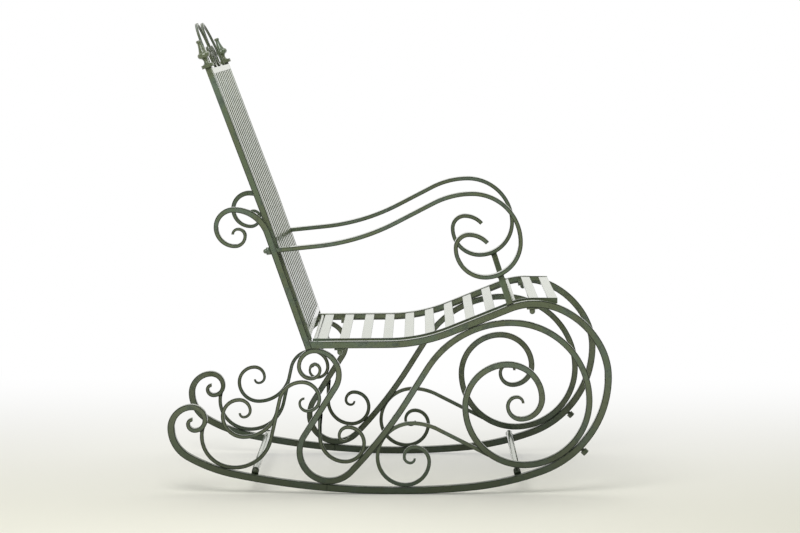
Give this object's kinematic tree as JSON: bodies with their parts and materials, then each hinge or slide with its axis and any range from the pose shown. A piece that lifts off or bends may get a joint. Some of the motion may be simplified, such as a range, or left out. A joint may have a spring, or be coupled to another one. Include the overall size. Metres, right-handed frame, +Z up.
{
  "type": "outdoor rocking chair",
  "caption": "Outdoor rocking chair of bent iron bar with scrolled side frames, slatted seat, tall strip back with scroll crest, and curled arms.",
  "frame": {"origin": "on the floor, on the middle plane, at the lowest point of the rockers", "axes": "+X forward the way the sitter faces, +Y to the sitter's left, +Z up"},
  "size_m": [1.0146, 0.546, 1.0736],
  "materials": {
    "frame_paint": "gloss olive green paint with a darker antique wash",
    "slat_paint": "gloss olive green paint, a little worn on the seat",
    "fastener_paint": "olive green paint over steel, darker in the joints"
  },
  "bodies": {
    "root": {"arm_fasteners": "fastener_paint", "back_low_rail": "slat_paint", "back_strip_01": "slat_paint", "back_strip_02": "slat_paint", "back_strip_03": "slat_paint", "back_strip_04": "slat_paint", "back_strip_05": "slat_paint", "back_strip_06": "slat_paint", "back_strip_07": "slat_paint", "back_strip_08": "slat_paint", "back_strip_09": "slat_paint", "back_strip_10": "slat_paint", "back_top_rail": "slat_paint", "front_stops": "fastener_paint", "front_stretcher": "frame_paint", "left_arm_rail": "frame_paint", "left_arm_support": "frame_paint", "left_back_stile": "frame_paint", "left_crest_scroll": "frame_paint", "left_front_scroll": "frame_paint", "left_loop_scroll": "frame_paint", "left_main_scroll": "frame_paint", "left_rear_scroll": "frame_paint", "left_rocker_rail": "frame_paint", "left_rocker_tail": "frame_paint", "left_seat_side_rail": "frame_paint", "left_side_post": "frame_paint", "left_tail_scroll": "frame_paint", "post_finials": "frame_paint", "rear_stretcher": "frame_paint", "right_arm_rail": "frame_paint", "right_arm_support": "frame_paint", "right_back_stile": "frame_paint", "right_crest_scroll": "frame_paint", "right_front_scroll": "frame_paint", "right_loop_scroll": "frame_paint", "right_main_scroll": "frame_paint", "right_rear_scroll": "frame_paint", "right_rocker_rail": "frame_paint", "right_rocker_tail": "frame_paint", "right_seat_side_rail": "frame_paint", "right_side_post": "frame_paint", "right_tail_scroll": "frame_paint", "seat_bolts": "fastener_paint", "seat_clips": "fastener_paint", "seat_rear_rod": "slat_paint", "seat_slat_01": "slat_paint", "seat_slat_02": "slat_paint", "seat_slat_03": "slat_paint", "seat_slat_04": "slat_paint", "seat_slat_05": "slat_paint", "seat_slat_06": "slat_paint", "seat_slat_07": "slat_paint", "seat_slat_08": "slat_paint", "seat_slat_09": "slat_paint", "seat_slat_10": "slat_paint", "seat_slat_11": "slat_paint", "seat_slat_12": "slat_paint", "stretcher_bolts": "fastener_paint", "stretcher_lugs": "fastener_paint"}
  },
  "joints": []
}
